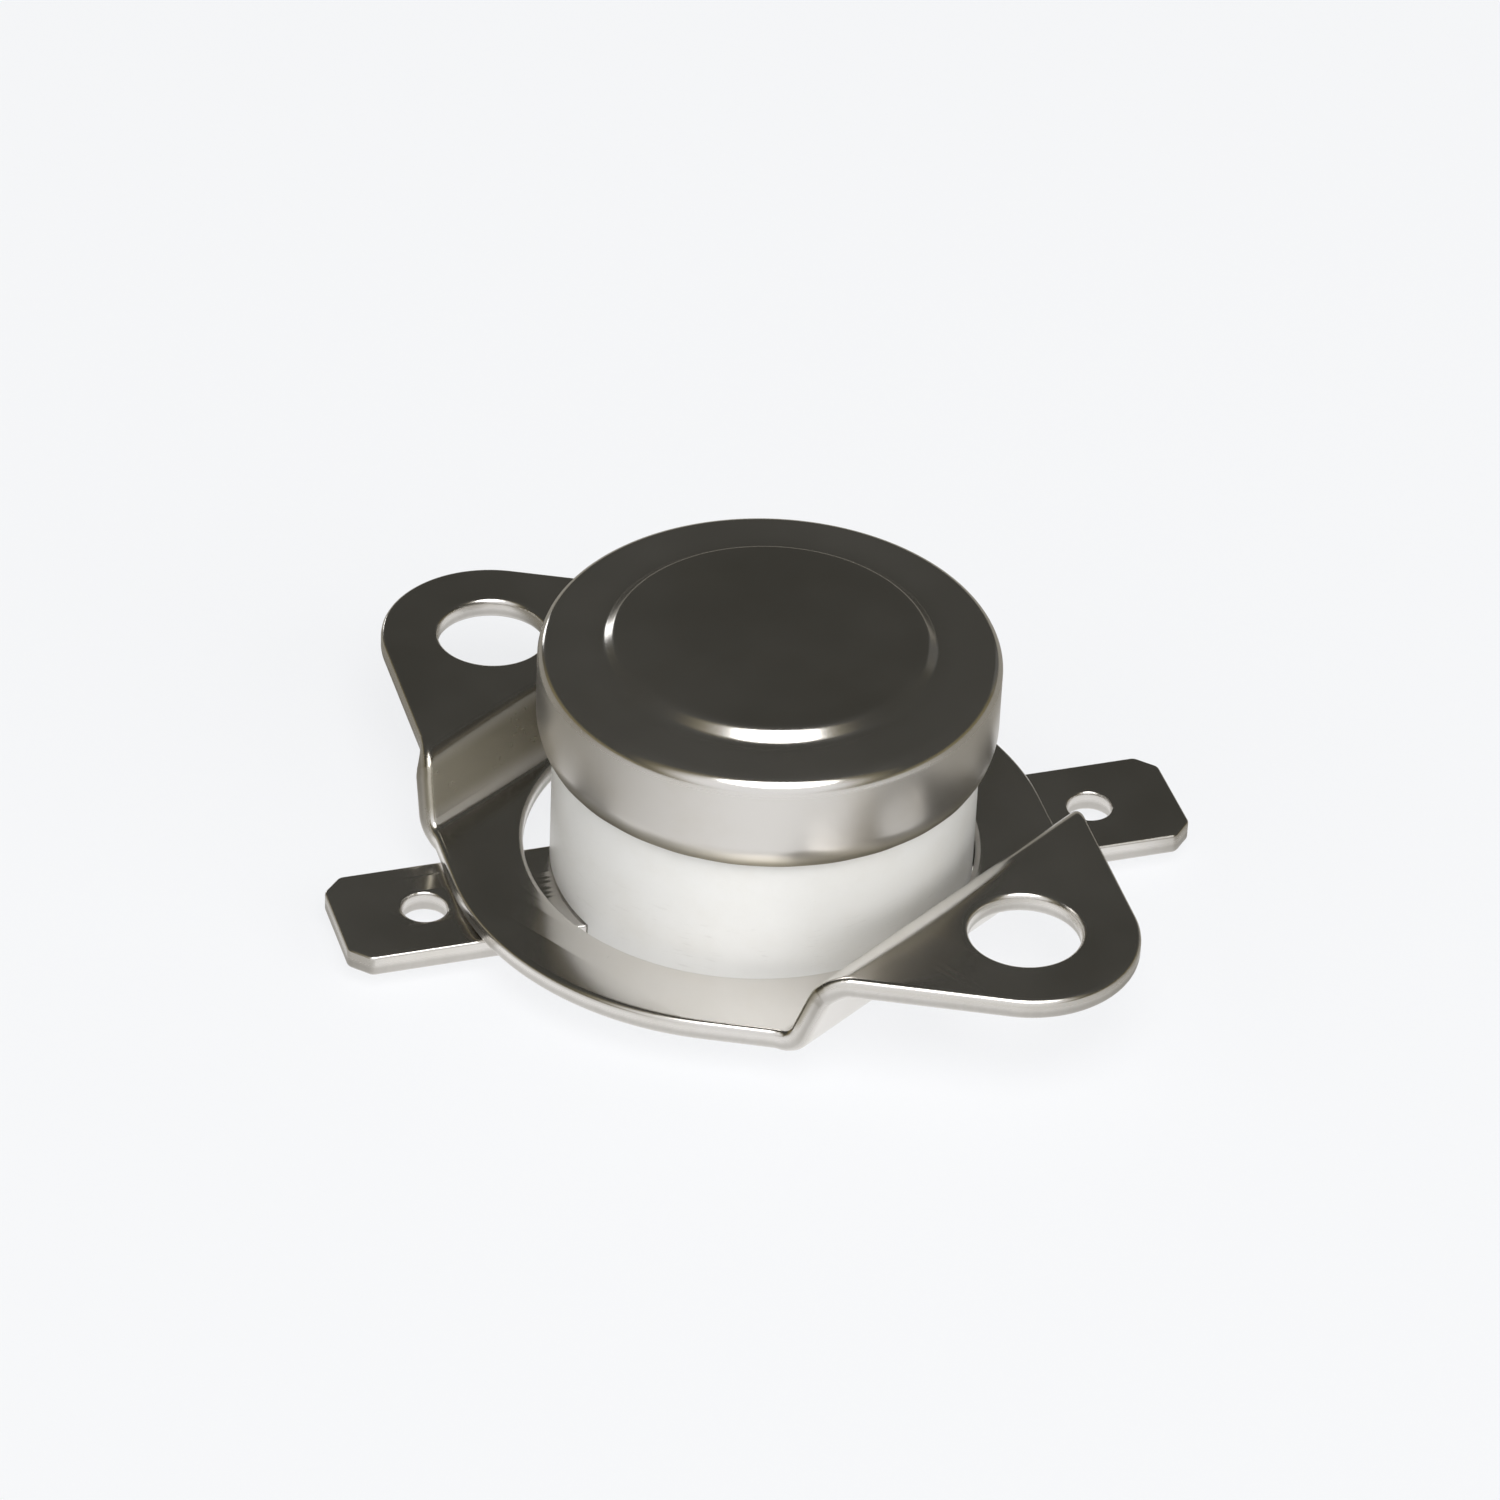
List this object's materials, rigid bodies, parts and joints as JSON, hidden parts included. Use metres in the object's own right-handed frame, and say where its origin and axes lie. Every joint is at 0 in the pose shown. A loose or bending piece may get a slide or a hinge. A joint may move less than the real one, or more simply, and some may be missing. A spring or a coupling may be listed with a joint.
{
  "type": "bimetal thermostat",
  "caption": "Round snap-disc bimetal thermostat with a crimped metal cap, white ceramic body, loose mounting flange with raised ears, and flat tab terminals.",
  "frame": {"origin": "centre of the ceramic body's underside, on the body's axis", "axes": "+Z along the body's axis towards the sensing face, +X along the right terminal"},
  "size_m": [0.031, 0.0292, 0.0112],
  "materials": {
    "bright_nickel": "bright nickel plate on steel",
    "white_ceramic": "smooth unglazed white",
    "bimetal": "rolled strip",
    "spring_copper": "rolled copper alloy",
    "brass": "plain brass",
    "silver": "silver contact"
  },
  "bodies": {
    "switch_body": {"cap": "bright_nickel", "snap_disc": "bimetal", "disc_guide": "white_ceramic", "ceramic_base": "white_ceramic", "fixed_contact_plate": "brass", "fixed_contact": "silver", "left_terminal": "bright_nickel", "right_terminal": "bright_nickel", "left_rivet": "brass", "right_rivet": "brass"},
    "transfer_pin": {"transfer_pin": "white_ceramic"},
    "contact_arm": {"contact_arm": "spring_copper", "moving_contact": "silver"},
    "mounting_flange": {"mounting_flange": "bright_nickel"}
  },
  "joints": [
    {"name": "flange_spin", "type": "hinge", "parent": "switch_body", "child": "mounting_flange", "pos_m": [-0.00044, 0.00009, 0.002], "axis": [0, 0, 1], "continuous": true},
    {"name": "pin_slide", "type": "slide", "parent": "switch_body", "child": "transfer_pin", "axis": [0, 0, -1], "range_m": [0, 0.0004], "stiffness_N_per_m": 800, "deforming": ["snap_disc"]},
    {"name": "arm_flex", "type": "hinge", "parent": "switch_body", "child": "contact_arm", "pos_m": [-0.0047, 0, 0.005], "axis": [0, 1, 0], "range_deg": [0, 5]}
  ],
  "couplings": [
    {"joint": "arm_flex", "follows": "pin_slide", "rad_per_m": 212.77}
  ]
}
